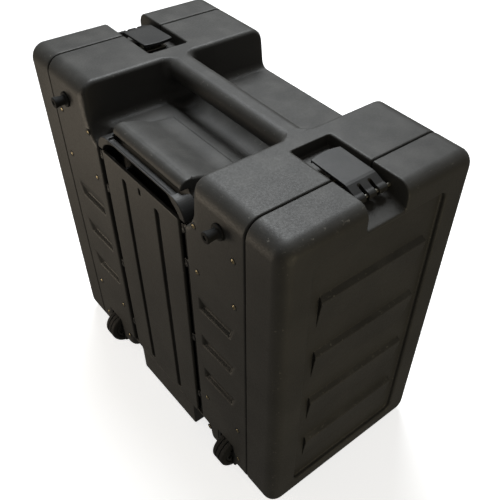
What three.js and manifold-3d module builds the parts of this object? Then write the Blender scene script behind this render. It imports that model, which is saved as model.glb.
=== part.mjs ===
// Rolling equipment rack case: a moulded body that is open at both ends, two lids held by
// four latches, 19-inch rack rails four units tall, a pull-out tow handle and two wheels.
// Millimetres, +Z up. The case stands on its wheels, so the 19-inch width is upright.
// The front lid is at -Y, the rear lid at +Y, the tow handle and the wheels at -X.
import * as THREE from 'three';
import { mergeVertices } from 'three/addons/utils/BufferGeometryUtils.js';
import Module from 'manifold-3d';

const wasm = await Module();
wasm.setup();

// Driving dimensions. Places are measured from the middle of the body, and Z from the ground.
const fit = 0.3;                  // gap left between pieces that touch
const rackUnit = 44.45;
const rackUnits = 4;
const halfWidth = 186;            // body, along X
const halfDepth = 268.5;          // body, along Y, to the seam with each lid
const bodyBottom = 8;
const bodyTop = 654;
const cornerRadius = 28;
const wall = 6;                   // moulded skin of the body
const lidWall = 5;
const lidDepth = 73;
const lidEdgeRadius = 22;
const seamGap = 2;                // filled by the gasket

const middleZ = (bodyBottom + bodyTop) / 2;
const bodyHeight = bodyTop - bodyBottom;
const seamY = -halfDepth;         // front seam
const lidStartY = seamY - seamGap;
const lidFaceY = lidStartY - lidDepth;

// The waist between the two end blocks, at the top and at the bottom
const waistHalf = 150;
const waistLean = 5;
const waistCutHeight = 80;
const topFloor = 582;
const bottomFloor = 58;
const rackZ = (topFloor + bottomFloor) / 2;

// Carry bar and the hand scoop under it
const barWidth = 50;
const barHeight = 40;
const scoopHalf = 34;             // half width of the scoop at the waist floor
const scoopFloor = 561;

// Opening behind each lid, and the tunnel that the rack rails are bolted into
const openingHalfX = 102;
const openingHalfZ = 248;
const tunnelDepth = 70;
const railSetBack = 22;
const railThickness = 2.5;
const railFaceWidth = 22;
const railWebDepth = 38;
const railHalfLength = rackUnits * rackUnit / 2 + 6;
const railHolePitch = 465.1;      // between the two columns of panel holes
const railHoleSteps = [-15.875, 0, 15.875];   // within one rack unit
const railHoleRadius = 3.4;
const railBoltX = 60;
const boltRadius = 3;
const stripThickness = 3;

// Latches
const latchBayHalf = 38;
const latchBayDepth = 85;
const latchBayFloor = bodyTop - 20;
const notchFloorBack = bodyTop - 22;
const notchFloorFront = bodyTop - 42;
const lowerNotchEndY = lidFaceY + 18.5;
const latchHalf = 27;
const latchPinY = seamY - 38;
const latchPinZ = bodyTop - 18;
const latchPinRadius = 3;
const latchSleeveRadius = 6.5;
const latchPlateTop = 15;         // above the pin
const latchPlate = 4;
const latchReach = 95;            // from the pin to the free end

// Lid panel and its four stiffening wedges
const panelHalfX = 130;
const panelHalfZ = 277;
const panelDepth = 9;
const wedgeHalfX = 107;
const wedgeTops = [527, 408, 289, 170];
const wedgeHeight = 84;
const wedgeDepth = 8.5;
const wedgeDrop = 7;              // height of its sloping top

// Tow handle
const bayHalf = 129;
const bayDepth = 32;
const bayBottom = 66;
const coverHalf = 110.7;
const coverTop = 558;
const coverThickness = 6;
const coverGroove = { y: 48, width: 12, bottom: 82, top: 536, depth: 3.5 };
const tubeY = 119.85;
const tubeX = -halfWidth + 17;
const outerTube = { y: 14, x: 20, wall: 1.5, bottom: 80, top: 555 };
const innerTube = { y: 10.2, x: 16.2, wall: 1.2, bottom: 90, top: 557.7 };
const deckTop = 606;
const gripFrontX = -halfWidth + 2;
const gripTop = 588;
const gripBarThickness = 8;
const gripHalf = 97;
const gripLip = 3;                // a gutter for the fingertips lies behind this lip
const gutterFloor = 584;
const clipHeights = [544, 475, 297, 128];
const deckStartX = -60;
const deckLedgeX = -halfWidth + 17.5;   // the deck's end reaches out over the bay to here
const deckLedgeBottom = 590;

// Side grooves of the end blocks
const grooveHeights = [235, 324, 415];
const grooveHeight = 28;
const grooveInner = 150;
const grooveOuter = 242;
const grooveDepth = 6;

// Wheels and feet
const wheelY = 206;
const wheelX = -halfWidth + 15;
const wheelRadius = 38;
const wheelHalf = 17;
const tyreInner = 25;
const axleRadius = 5;
const pocketHalf = 25;
const pocketClearance = 5;
const cheek = 5.5;
const footRadius = 17;
const footX = 146;
const sideFootLength = wheelRadius - 15;
const sideFootY = 214;
const sideFootZ = 604;

const material = (color, roughness, metalness = 0) =>
  new THREE.MeshStandardMaterial({ color, roughness, metalness });
const mouldedBlack = material(0x26282a, 0.62);
const moulding = material(0x1d1e20, 0.5);
const rubber = material(0x101112, 0.9);
const blackSteel = material(0x202225, 0.4, 0.8);
const zincSteel = material(0xa6a69e, 0.35, 0.9);
const aluminium = material(0x8e9194, 0.35, 0.9);

// --- Helpers ----------------------------------------------------------------

// A closed three.js geometry as a solid that can be joined and cut
function solid(geometry) {
  const bare = geometry.clone();
  bare.deleteAttribute('normal');
  bare.deleteAttribute('uv');
  const merged = mergeVertices(bare, 1e-4);
  return new wasm.Manifold(new wasm.Mesh({
    numProp: 3,
    vertProperties: new Float32Array(merged.attributes.position.array),
    triVerts: new Uint32Array(merged.index.array),
  }));
}

function mesh(name, shape, surface) {
  const { vertProperties, triVerts } = shape.getMesh();
  const geometry = new THREE.BufferGeometry();
  geometry.setAttribute('position', new THREE.BufferAttribute(vertProperties, 3));
  geometry.setIndex(new THREE.BufferAttribute(triVerts, 1));
  geometry.computeVertexNormals();
  const result = new THREE.Mesh(geometry, surface);
  result.name = name;
  return result;
}

function block([x0, x1], [y0, y1], [z0, z1]) {
  const geometry = new THREE.BoxGeometry(x1 - x0, y1 - y0, z1 - z0);
  geometry.translate((x0 + x1) / 2, (y0 + y1) / 2, (z0 + z1) / 2);
  return solid(geometry);
}

const around = (middle, half) => [middle - half, middle + half];

function roundedRectangle(halfX, halfY, radius) {
  const corners = [[1, -1], [1, 1], [-1, 1], [-1, -1]];
  const shape = new THREE.Shape();
  corners.forEach(([sx, sy], i) => {
    const start = -Math.PI / 2 + i * Math.PI / 2;
    const x = sx * (halfX - radius);
    const y = sy * (halfY - radius);
    shape.absarc(x, y, radius, start, start + Math.PI / 2, false);
  });
  shape.closePath();
  return shape;
}

function extrude(shape, length, options = {}) {
  return new THREE.ExtrudeGeometry(shape, {
    depth: length, bevelEnabled: false, curveSegments: 5, ...options,
  });
}

// An outline drawn in X and Z, swept along Y
function alongY(shape, [y0, y1], options) {
  const geometry = extrude(shape, y1 - y0, options);
  geometry.rotateX(Math.PI / 2);
  geometry.translate(0, y1, 0);
  return solid(geometry);
}

// An outline drawn in Y and Z, swept along X
function alongX(shape, [x0, x1], options) {
  const geometry = extrude(shape, x1 - x0, options);
  geometry.applyMatrix4(new THREE.Matrix4().set(0, 0, 1, 0, 1, 0, 0, 0, 0, 1, 0, 0, 0, 0, 0, 1));
  geometry.translate(x0, 0, 0);
  return solid(geometry);
}

function cylinder(axis, [x, y, z], radius, length, sides = 20) {
  const geometry = new THREE.CylinderGeometry(radius, radius, length, sides);
  if (axis === 'x') geometry.rotateZ(Math.PI / 2);
  if (axis === 'z') geometry.rotateX(Math.PI / 2);
  geometry.translate(x, y, z);
  return solid(geometry);
}

// A turned piece: the profile gives [radius, height] pairs and turns about Y
function turned(profile, sides = 28) {
  const points = profile.map(([radius, height]) => new THREE.Vector2(radius, height));
  return solid(new THREE.LatheGeometry(points, sides));
}

const outline = (points) => new THREE.Shape(points.map(([x, y]) => new THREE.Vector2(x, y)));

const join = (...solids) => solids.reduce((whole, piece) => whole.add(piece));
const cut = (whole, ...tools) => tools.reduce((rest, tool) => rest.subtract(tool), whole);
const mirrored = (make) => join(make(-1), make(1));

// Half a turn about the Y line through the middle of the body: top pieces move to the bottom
const turnedOver = (piece) =>
  piece.translate([0, 0, -middleZ]).rotate([0, 180, 0]).translate([0, 0, middleZ]);

// --- Body -------------------------------------------------------------------

const caseOutline = (inset) =>
  roundedRectangle(halfWidth - inset, bodyHeight / 2 - inset, cornerRadius - inset);

const caseBlock = (inset, yRange) => alongY(caseOutline(inset), yRange).translate([0, 0, middleZ]);

// One waist notch, open upwards: its sides lean out, and grow widens it by the skin thickness
function waistNotch(floor, grow) {
  const bottomHalf = waistHalf + grow - waistLean;
  const topHalf = waistHalf + grow + waistLean;
  const low = floor - grow;
  const high = floor + waistCutHeight;
  return alongX(
    outline([[-bottomHalf, low], [bottomHalf, low], [topHalf, high], [-topHalf, high]]),
    around(0, halfWidth + 1));
}

function waists(grow) {
  const lower = waistNotch(-bottomFloor, grow).rotate([180, 0, 0]);
  return join(waistNotch(topFloor, grow), lower);
}

// A shallow trough under the carry bar, for the fingers
function scoop(grow) {
  const depth = topFloor - scoopFloor;
  const radius = (scoopHalf * scoopHalf + depth * depth) / (2 * depth);
  const trough = new THREE.Shape().absarc(0, scoopFloor + radius, radius + grow, 0, Math.PI * 2);
  return alongY(trough, around(0, waistHalf - 6), { curveSegments: 24 });
}

// Recesses in the end blocks for the free ends of the latches
function latchBays(grow) {
  const bay = (sideY) => block(
    around(0, latchBayHalf + grow),
    sideY < 0
      ? [seamY - 1, seamY + latchBayDepth + grow]
      : [-seamY - latchBayDepth - grow, -seamY + 1],
    [latchBayFloor - grow, bodyTop + 1],
  );
  const upper = mirrored(bay);
  return join(upper, turnedOver(upper));
}

function towBay(grow) {
  return block(
    [-halfWidth - 1, -halfWidth + bayDepth + grow],
    around(0, bayHalf + grow),
    [bayBottom - grow, bodyTop + 1],
  );
}

function wheelPockets(grow) {
  return mirrored((side) => block(
    [-halfWidth - 1, wheelX + wheelRadius + pocketClearance + grow],
    around(side * wheelY, pocketHalf + grow),
    [bodyBottom - 1, 2 * wheelRadius + pocketClearance + grow],
  ));
}

function sideGrooves(grow) {
  const grooves = grooveHeights.map((z) => mirrored((side) => block(
    [-halfWidth - 1, -halfWidth + grooveDepth + grow],
    around(side * (grooveInner + grooveOuter) / 2, (grooveOuter - grooveInner) / 2 + grow),
    around(z, grooveHeight / 2 + grow),
  )));
  return join(...grooves);
}

// The straight way through the body, as wide as the openings in its two rims
const opening = () =>
  block(around(0, openingHalfX), around(0, halfDepth + 1), around(rackZ, openingHalfZ));

// Sleeve behind each opening
function tunnels() {
  const sleeve = block(
    around(0, openingHalfX + wall), around(0, halfDepth), around(rackZ, openingHalfZ + wall));
  const middle = block(
    around(0, halfWidth), around(0, halfDepth - tunnelDepth), around(rackZ, bodyHeight));
  return cut(sleeve, opening(), middle);
}

function carryBar() {
  const bar = alongY(
    roundedRectangle(barWidth / 2, barHeight / 2, barHeight / 2 - 1), around(0, waistHalf + 4));
  return bar.translate([0, 0, bodyTop - barHeight / 2]);
}

// The waist floor rises to the tow grip
function deck() {
  const profile = outline([
    [-halfWidth + bayDepth, topFloor - 2], [deckStartX, topFloor - 2], [deckStartX, topFloor],
    [-halfWidth + bayDepth, deckTop],
  ]);
  return alongY(profile, around(0, gripHalf));
}

const deckLedge = () => block(
  [deckLedgeX, -halfWidth + bayDepth + 2], around(0, gripHalf), [deckLedgeBottom, deckTop]);

// Leaf-shaped hollows beside the ends of the tow grip
function gripHollows() {
  return mirrored((side) => {
    const ball = new THREE.SphereGeometry(1, 20, 14);
    ball.scale(30, 21, 46);
    ball.translate(-halfWidth, side * (bayHalf - 1), deckTop);
    return solid(ball);
  });
}

function railBoltHoles() {
  const holes = [];
  for (const end of [-1, 1]) {
    const y = end * (halfDepth - railSetBack - railWebDepth / 2);
    for (const x of [-railBoltX, railBoltX]) {
      holes.push(cylinder('z', [x, y, rackZ], boltRadius + fit, 2 * (openingHalfZ + wall) + 2, 10));
    }
  }
  return join(...holes);
}

function bodyShell() {
  const outside = cut(caseBlock(0, around(0, halfDepth)), waists(0), scoop(0));
  const inside = cut(
    caseBlock(wall, around(0, halfDepth - wall)),
    waists(wall), scoop(wall), latchBays(wall), towBay(wall), wheelPockets(wall), sideGrooves(wall),
    tunnels(),
  );
  const withBar = join(outside, carryBar(), deck());
  const shell = cut(
    withBar, inside, cut(opening(), waists(wall), scoop(wall)), latchBays(0), towBay(0),
    wheelPockets(0), sideGrooves(0), gripHollows(), railBoltHoles(),
  );
  return join(shell, deckLedge());
}

// --- Lids, made for the front and turned for the rear -------------------------

// Where the roots of the latches lie. The floor of each notch slopes down towards the face:
// the upper notch runs out through it, and the lower one stops at an end wall
function lidNotches(grow) {
  const notch = alongX(outline([
    [lidFaceY - 1, notchFloorFront - grow], [lidStartY + 1, notchFloorBack - grow],
    [lidStartY + 1, bodyTop + 1], [lidFaceY - 1, bodyTop + 1],
  ]), around(0, latchBayHalf + grow));
  const beforeEndWall = block(
    around(0, halfWidth), [lowerNotchEndY - grow, lidStartY + 2], [0, 2 * bodyTop]);
  return join(notch, turnedOver(notch.intersect(beforeEndWall)));
}

// Stiffening wedges on the panel: each has a short sloping top and thins out downwards
function lidWedges() {
  const panelY = lidFaceY + panelDepth;
  const wedges = wedgeTops.map((top) => alongX(outline([
    [panelY + 2, top], [panelY, top], [panelY - wedgeDepth, top - wedgeDrop],
    [panelY, top - wedgeHeight], [panelY + 2, top - wedgeHeight],
  ]), around(0, wedgeHalfX)));
  return join(...wedges);
}

function lidPinHoles() {
  const pin = (z) => cylinder(
    'x', [0, latchPinY, z], latchPinRadius + fit, 2 * (latchBayHalf + lidWall) + 2, 12);
  return join(pin(latchPinZ), pin(2 * middleZ - latchPinZ));
}

function lidShell() {
  const r = lidEdgeRadius;
  const rounded = alongY(caseOutline(r), [lidFaceY + r, lidStartY + r], {
    bevelEnabled: true, bevelSize: r, bevelThickness: r, bevelSegments: 4,
  }).translate([0, 0, middleZ]);
  const outside = rounded.intersect(caseBlock(-1, [lidFaceY - 1, lidStartY]));
  const room = caseBlock(lidWall, [lidFaceY + panelDepth + lidWall, lidStartY + 1]);
  const hollow = cut(room, lidNotches(lidWall));
  const panel = alongY(
    roundedRectangle(panelHalfX, panelHalfZ, 14), [lidFaceY - 1, lidFaceY + panelDepth],
  ).translate([0, 0, middleZ - 4]);
  return join(cut(outside, panel, hollow, lidNotches(0), lidPinHoles()), lidWedges());
}

function gasket() {
  const ring = (inset) => {
    const bar = caseBlock(inset, [lidStartY + fit, seamY - fit]);
    const bays = mirrored((side) => block(
      around(0, latchBayHalf + inset),
      [lidStartY - 1, seamY + 1],
      around(middleZ + side * (bodyHeight / 2), bodyTop - notchFloorBack + inset),
    ));
    return cut(bar, bays);
  };
  return cut(ring(1), ring(lidWall - 1));
}

// --- Latches, drawn with the pin at the origin ----------------------------------

function latch() {
  const top = latchPlateTop;
  const under = top - latchPlate;
  const bend = 24;
  const profile = outline([
    [-4, 5], [3, -5.5], [bend + 2, under], [latchReach - 5, under], [latchReach, under + 1.5],
    [latchReach - 1, top - 0.5], [latchReach - 6, top], [bend, top], [bend - 6, top - 1],
  ]);
  const plate = alongX(profile, around(0, latchHalf));
  const sleeve = cylinder('x', [0, 0, 0], latchSleeveRadius, 2 * latchHalf, 16);
  const slots = mirrored((side) => block(around(side * 10, 3), [-8, 15], [-8, latchPlateTop + 1]));
  const bore = cylinder('x', [0, 0, 0], latchPinRadius + fit, 2 * latchHalf + 2, 12);
  return cut(join(plate, sleeve), slots, bore);
}

const latchPin = () => cylinder('x', [0, 0, 0], latchPinRadius, 2 * (latchBayHalf + 3), 12);

// Catch plate on the floor of the latch bay, under the latch
function keeper() {
  const floor = latchBayFloor + fit;
  const base = block(around(0, 22), [seamY + 12, seamY + 44], [floor, floor + 2.5]);
  const nose = block(around(0, 20), [seamY + 22, seamY + 30], [floor + 2, floor + 8]);
  return join(base, nose);
}

// --- Rack rails, drawn for the front upper corner -------------------------------

const railFaceY = seamY + railSetBack;
const railOuterZ = rackZ + openingHalfZ - fit;

function rackRail() {
  const face = block(
    around(0, railHalfLength), [railFaceY, railFaceY + railThickness],
    [railOuterZ - railFaceWidth, railOuterZ]);
  const web = block(
    around(0, railHalfLength), [railFaceY, railFaceY + railWebDepth],
    [railOuterZ - railThickness, railOuterZ]);
  const holes = [];
  for (let unit = 0; unit < rackUnits; unit += 1) {
    for (const step of railHoleSteps) {
      const x = (unit - (rackUnits - 1) / 2) * rackUnit + step;
      holes.push(cylinder(
        'y', [x, railFaceY, rackZ + railHolePitch / 2], railHoleRadius, 4 * railThickness, 8));
    }
  }
  for (const x of [-railBoltX, railBoltX]) {
    holes.push(cylinder(
      'z', [x, railFaceY + railWebDepth / 2, railOuterZ], boltRadius + fit, 4 * railThickness, 10));
  }
  return cut(join(face, web), ...holes);
}

// Backing strip on the far side of the tunnel wall, with the two bolts that carry the rail
function railFixing() {
  const y = railFaceY + railWebDepth / 2;
  const stripBottom = rackZ + openingHalfZ + wall + fit;
  const strip = block(
    around(0, railHalfLength - 10), around(y, 9), [stripBottom, stripBottom + stripThickness]);
  const headTop = railOuterZ - railThickness - fit;
  const bolts = [-railBoltX, railBoltX].map((x) => join(
    cylinder('z', [x, y, (headTop + stripBottom) / 2], boltRadius, stripBottom - headTop + 2, 10),
    cylinder('z', [x, y, headTop - 1.5], 6, 3, 10),
  ));
  return join(strip, ...bolts);
}

// --- Tow handle -------------------------------------------------------------------

function tube({ x, y, wall: thickness, bottom, top }, side) {
  const outside = block(around(tubeX, x / 2), around(side * tubeY, y / 2), [bottom, top]);
  const inside = block(
    around(tubeX, x / 2 - thickness), around(side * tubeY, y / 2 - thickness), [bottom - 1, top + 1]);
  return cut(outside, inside);
}

function towGrip() {
  const under = gripTop - gripBarThickness;
  const legBottom = innerTube.top + fit;
  const shape = new THREE.Shape();
  shape.moveTo(-bayHalf + 3, legBottom);
  shape.bezierCurveTo(-bayHalf + 5, legBottom + 16, -gripHalf - 14, gripTop, -gripHalf + 4, gripTop);
  shape.lineTo(gripHalf - 4, gripTop);
  shape.bezierCurveTo(gripHalf + 14, gripTop, bayHalf - 5, legBottom + 16, bayHalf - 3, legBottom);
  shape.lineTo(bayHalf - 17, legBottom);
  shape.bezierCurveTo(bayHalf - 21, legBottom + 10, gripHalf - 2, under, gripHalf - 18, under);
  shape.lineTo(-gripHalf + 18, under);
  shape.bezierCurveTo(-gripHalf + 2, under, -bayHalf + 21, legBottom + 10, -bayHalf + 17, legBottom);
  const backX = -halfWidth + bayDepth - 1;
  const bow = alongX(shape, [gripFrontX, backX], { curveSegments: 6 });
  const ledgeRoom = block(
    [deckLedgeX - fit, backX + 1], around(0, gripHalf + 1), [legBottom - 1, gripTop + 1]);
  const gutter = block(
    [gripFrontX + gripLip, backX + 1], around(0, gripHalf - 6), [gutterFloor, gripTop + 1]);
  return cut(bow, ledgeRoom, gutter);
}

function towCover() {
  const frontX = -halfWidth;
  const plate = block(
    [frontX, frontX + coverThickness], around(0, coverHalf), [bayBottom + fit, coverTop]);
  const ribs = mirrored((side) => block(
    [frontX + coverThickness - 1, frontX + bayDepth - fit], around(side * 70, 3),
    [bayBottom + 20, coverTop - 20]));
  const grooves = mirrored((side) => block(
    [frontX - 1, frontX + coverGroove.depth], around(side * coverGroove.y, coverGroove.width / 2),
    [coverGroove.bottom, coverGroove.top]));
  const keyhole = block([frontX - 1, frontX + coverGroove.depth], around(0, 3), around(540, 7));
  return cut(join(plate, ribs), grooves, keyhole);
}

// Closes the lower end of a guide tube
function tubeCap(side) {
  return block(
    around(tubeX, outerTube.x / 2), around(side * tubeY, outerTube.y / 2),
    [bayBottom + fit, outerTube.bottom - fit]);
}

// Bridge that holds a guide tube back in its channel
function tubeClip(side, z) {
  const front = tubeX - outerTube.x / 2 - fit;
  return block([front - 3, front], around(side * tubeY, outerTube.y / 2), around(z, 7));
}

// --- Wheels and feet ---------------------------------------------------------------

// Wheel pieces are drawn round their axle, which runs along Y
function tyre() {
  const half = wheelHalf;
  const r = wheelRadius;
  return turned([
    [tyreInner + fit, -half + 2], [r - 6, -half], [r - 2, -half + 3], [r, -half + 7], [r, half - 7],
    [r - 2, half - 3], [r - 6, half], [tyreInner + fit, half - 2], [tyreInner + fit, -half + 2],
  ], 36);
}

function hub() {
  const half = wheelHalf - 2;
  return turned([
    [axleRadius + fit, -half], [12, -half], [14, -half + 5], [21, -half + 5], [23, -half],
    [tyreInner, -half], [tyreInner, half], [23, half], [21, half - 5], [14, half - 5], [12, half],
    [axleRadius + fit, half], [axleRadius + fit, -half],
  ], 24);
}

const axle = () => cylinder('y', [0, 0, 0], axleRadius, 2 * pocketHalf - 1, 16);

// Housing that lines the pocket and carries the axle in its two cheeks
function wheelHousing() {
  const half = pocketHalf - fit;
  const back = wheelRadius + pocketClearance - fit;
  const front = -(wheelX + halfWidth) + 1;
  const low = bodyBottom + 2 - wheelRadius;
  const outside = block([front, back], around(0, half), [low, back]);
  const room = block([front - 1, back - 3], around(0, half - cheek), [low - 1, back - 3]);
  const bore = cylinder('y', [0, 0, 0], axleRadius + fit, 2 * pocketHalf + 2, 16);
  return cut(outside, room, bore);
}

const foot = () => turned([
  [0, 0], [footRadius - 1.5, 0], [footRadius, 1.5], [footRadius, bodyBottom - fit],
  [0, bodyBottom - fit],
], 24);

// Rubber side foot, drawn along +Y and turned to point along -X
const sideFoot = () => turned([
  [0, fit], [13, fit], [13, 4], [9, 7], [8.5, sideFootLength - 4], [7, sideFootLength - 1],
  [5, sideFootLength], [0, sideFootLength],
], 20);

// --- Assembly ---------------------------------------------------------------------

const rackCase = new THREE.Group();
rackCase.name = 'rack_case';
// The wheels and side feet stand out at -X, so the middle of the whole lies off the body's middle
rackCase.position.x = sideFootLength / 2;

rackCase.add(mesh('body_shell', bodyShell(), mouldedBlack));

// Everything that repeats at the rear is turned half a turn about Z
for (const [end, turn] of [['front', 0], ['rear', Math.PI]]) {
  const endGroup = new THREE.Group();
  endGroup.rotation.z = turn;
  endGroup.add(mesh(`${end}_lid`, lidShell(), mouldedBlack));
  endGroup.add(mesh(`${end}_gasket`, gasket(), rubber));
  for (const [level, flip] of [['upper', 0], ['lower', Math.PI]]) {
    const latchGroup = new THREE.Group();
    latchGroup.position.z = middleZ;
    latchGroup.rotation.y = flip;
    const latchMesh = mesh(`${end}_${level}_latch`, latch(), moulding);
    const pinMesh = mesh(`${end}_${level}_latch_pin`, latchPin(), zincSteel);
    for (const piece of [latchMesh, pinMesh]) {
      piece.position.set(0, latchPinY, latchPinZ - middleZ);
    }
    const keeperMesh = mesh(`${end}_${level}_keeper`, keeper(), zincSteel);
    keeperMesh.position.z = -middleZ;
    latchGroup.add(latchMesh, pinMesh, keeperMesh);

    const railGroup = new THREE.Group();
    railGroup.position.z = rackZ;
    railGroup.rotation.y = flip;
    const railMesh = mesh(`${end}_${level}_rack_rail`, rackRail(), blackSteel);
    const fixingMesh = mesh(`${end}_${level}_rail_fixing`, railFixing(), zincSteel);
    railMesh.position.z = -rackZ;
    fixingMesh.position.z = -rackZ;
    railGroup.add(railMesh, fixingMesh);
    endGroup.add(latchGroup, railGroup);
  }
  rackCase.add(endGroup);
}

rackCase.add(mesh('tow_grip', towGrip(), moulding));
rackCase.add(mesh('tow_cover', towCover(), mouldedBlack));
for (const [end, side] of [['front', -1], ['rear', 1]]) {
  rackCase.add(mesh(`${end}_guide_tube`, tube(outerTube, side), blackSteel));
  rackCase.add(mesh(`${end}_tow_tube`, tube(innerTube, side), aluminium));
  rackCase.add(mesh(`${end}_tube_cap`, tubeCap(side), moulding));
  clipHeights.forEach((z, i) => {
    rackCase.add(mesh(`${end}_tube_clip_${i + 1}`, tubeClip(side, z), moulding));
  });

  const wheelGroup = new THREE.Group();
  wheelGroup.position.set(wheelX, side * wheelY, wheelRadius);
  wheelGroup.add(mesh(`${end}_tyre`, tyre(), rubber));
  wheelGroup.add(mesh(`${end}_wheel_hub`, hub(), moulding));
  wheelGroup.add(mesh(`${end}_axle`, axle(), zincSteel));
  wheelGroup.add(mesh(`${end}_wheel_housing`, wheelHousing(), moulding));
  rackCase.add(wheelGroup);

  const footMesh = mesh(`${end}_foot`, foot(), rubber);
  footMesh.position.set(footX, side * wheelY, 0);
  footMesh.rotation.x = Math.PI / 2;
  rackCase.add(footMesh);

  const sideFootMesh = mesh(`${end}_side_foot`, sideFoot(), rubber);
  sideFootMesh.position.set(-halfWidth, side * sideFootY, sideFootZ);
  sideFootMesh.rotation.z = Math.PI / 2;
  rackCase.add(sideFootMesh);
}

export default rackCase;
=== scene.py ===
"""A rolling equipment rack case: moulded body, two latched lids, tow handle and wheels.

Every moulded piece is written as a distance field: a function of x, y and z that is negative
inside the piece. Fields make the large soft fillets of moulded plastic easy, because a
rounded join or cut is one formula. Lengths are in millimetres, measured from the middle of
the body, until a mesh is written in metres.
"""

import math

import bpy
import numpy as np
from mathutils import Matrix, Vector


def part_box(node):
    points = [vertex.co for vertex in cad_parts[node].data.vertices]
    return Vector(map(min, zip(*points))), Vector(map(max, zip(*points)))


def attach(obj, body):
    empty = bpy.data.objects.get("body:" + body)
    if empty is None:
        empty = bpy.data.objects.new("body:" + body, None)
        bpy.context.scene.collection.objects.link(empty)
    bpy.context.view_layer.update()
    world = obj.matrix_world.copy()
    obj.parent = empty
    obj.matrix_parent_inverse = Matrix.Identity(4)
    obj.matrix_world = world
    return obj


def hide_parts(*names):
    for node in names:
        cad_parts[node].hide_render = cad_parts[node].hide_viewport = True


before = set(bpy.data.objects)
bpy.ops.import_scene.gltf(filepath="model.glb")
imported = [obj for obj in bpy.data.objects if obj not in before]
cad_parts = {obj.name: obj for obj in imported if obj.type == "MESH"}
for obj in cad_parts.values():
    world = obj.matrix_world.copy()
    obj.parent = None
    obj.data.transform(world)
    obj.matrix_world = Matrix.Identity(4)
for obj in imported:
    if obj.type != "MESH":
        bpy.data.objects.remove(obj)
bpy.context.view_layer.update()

MM = 0.001
ENDS = {"front": -1, "rear": 1}
COARSE = 1.0


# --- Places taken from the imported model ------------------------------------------

def cad_span(node):
    """Lowest and highest corner of a CAD node in millimetres."""
    low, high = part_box(node)
    return np.array(low) / MM, np.array(high) / MM


body_low, body_high = cad_span("body_shell")
MIDDLE_X = (body_low[0] + body_high[0]) / 2


def span(node):
    """The same, with x measured from the middle of the body."""
    low, high = cad_span(node)
    low[0] -= MIDDLE_X
    high[0] -= MIDDLE_X
    return low, high


def middle(node):
    low, high = span(node)
    return (low + high) / 2


HALF_WIDTH = (body_high[0] - body_low[0]) / 2
HALF_DEPTH = body_high[1]
BODY_BOTTOM = body_low[2]
BODY_TOP = body_high[2]
MIDDLE_Z = (BODY_BOTTOM + BODY_TOP) / 2
HALF_HEIGHT = (BODY_TOP - BODY_BOTTOM) / 2
LID_FACE = -span("front_lid")[0][1]
LID_START = -span("front_lid")[1][1]
WHEEL_X, WHEEL_Y, WHEEL_Z = middle("rear_tyre")
WHEEL_RADIUS = WHEEL_Z

# --- Sizes of the moulded shapes ----------------------------------------------------

CORNER = 28
WALL = 6
LID_WALL = 5
LID_EDGE = 22

# The two waists mirror each other about the middle of the rack opening
RACK_Z = 320
WAIST_FLOOR = 262
WAIST_HALF = 145
WAIST_TOP_HALF = 155
WAIST_SLOPE_HEIGHT = 80
WAIST_FLARE = 12
FLOOR_DROP = 8

BAR_HALF = 25
BAR_HALF_HEIGHT = 20
SCOOP_FLOOR = 561
SCOOP_RADIUS = 38
SCOOP_HALF = 144

DECK_START = -60
DECK_END = -154
DECK_TOP = 606
DECK_HALF = 97
LEDGE_FRONT = -HALF_WIDTH + 17.5
LEDGE_MIDDLE = 598
LEDGE_HALF_HEIGHT = 8
LEDGE_ROLL = 15
HOLLOW_SIZE = (40, 22, 46)

BAY_HALF = 129
BAY_BOTTOM = 66
LATCH_BAY_HALF = 38
LATCH_BAY_DEPTH = 85
LATCH_BAY_FLOOR = 20
WHEEL_POCKET_HALF = 25
WHEEL_POCKET_BACK = -128
WHEEL_POCKET_TOP = 81
GROOVE_PITCH = 90
GROOVE_MIDDLE = 324
GROOVE_INNER = 150
GROOVE_OUTER = 242

OPENING_HALF_X = 102
OPENING_HALF_Z = 248
TUNNEL_DEPTH = 70

PANEL_HALF_X = 130
PANEL_HALF_Z = 277
PANEL_MIDDLE_Z = 327
PANEL_CORNER = 14
PANEL_DEPTH = 9
WEDGE_HALF = 107
WEDGE_TOP = 527
WEDGE_PITCH = 119
WEDGE_HEIGHT = 66
WEDGE_DEPTH = 8.5
WEDGE_DROP = 7
NOTCH_DEPTH_BACK = 22
NOTCH_DEPTH_FRONT = 42
LOWER_NOTCH_END = 325


# --- Distance fields ------------------------------------------------------------------

def meet(a, b, r=0.0):
    """What is in both shapes, its new edges rounded to radius r."""
    if r == 0:
        return np.maximum(a, b)
    corner = np.sqrt(np.maximum(a + r, 0) ** 2 + np.maximum(b + r, 0) ** 2)
    return np.minimum(-r, np.maximum(a, b)) + corner


def merge(a, b, r=0.0):
    """Both shapes as one, the inner corners between them filled to radius r."""
    return -meet(-a, -b, r)


def without(a, b, r=0.0):
    """The first shape with the second cut out of it, the rim of the cut rounded."""
    return meet(a, -b, r)


def within(v, center, half):
    """The layer between center - half and center + half."""
    return np.abs(v - center) - half


def rectangle(u, v, half_u, half_v, r):
    """A rounded rectangle about the origin."""
    a = np.abs(u) - half_u + r
    b = np.abs(v) - half_v + r
    outside = np.sqrt(np.maximum(a, 0) ** 2 + np.maximum(b, 0) ** 2)
    return outside + np.minimum(np.maximum(a, b), 0) - r


def polygon(u, v, points):
    """Signed distance from a closed outline."""
    distance = np.full(np.broadcast(u, v).shape, 1e9)
    inside = np.zeros(distance.shape, bool)
    for (u0, v0), (u1, v1) in zip(points, points[1:] + points[:1]):
        du, dv = u1 - u0, v1 - v0
        t = np.clip(((u - u0) * du + (v - v0) * dv) / (du * du + dv * dv), 0, 1)
        distance = np.minimum(distance, (u - u0 - t * du) ** 2 + (v - v0 - t * dv) ** 2)
        crosses = (v0 <= v) != (v1 <= v)
        step = dv if dv else 1e-9
        inside ^= crosses & (u < u0 + (v - v0) / step * du)
    return np.where(inside, -1, 1) * np.sqrt(distance)


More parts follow.
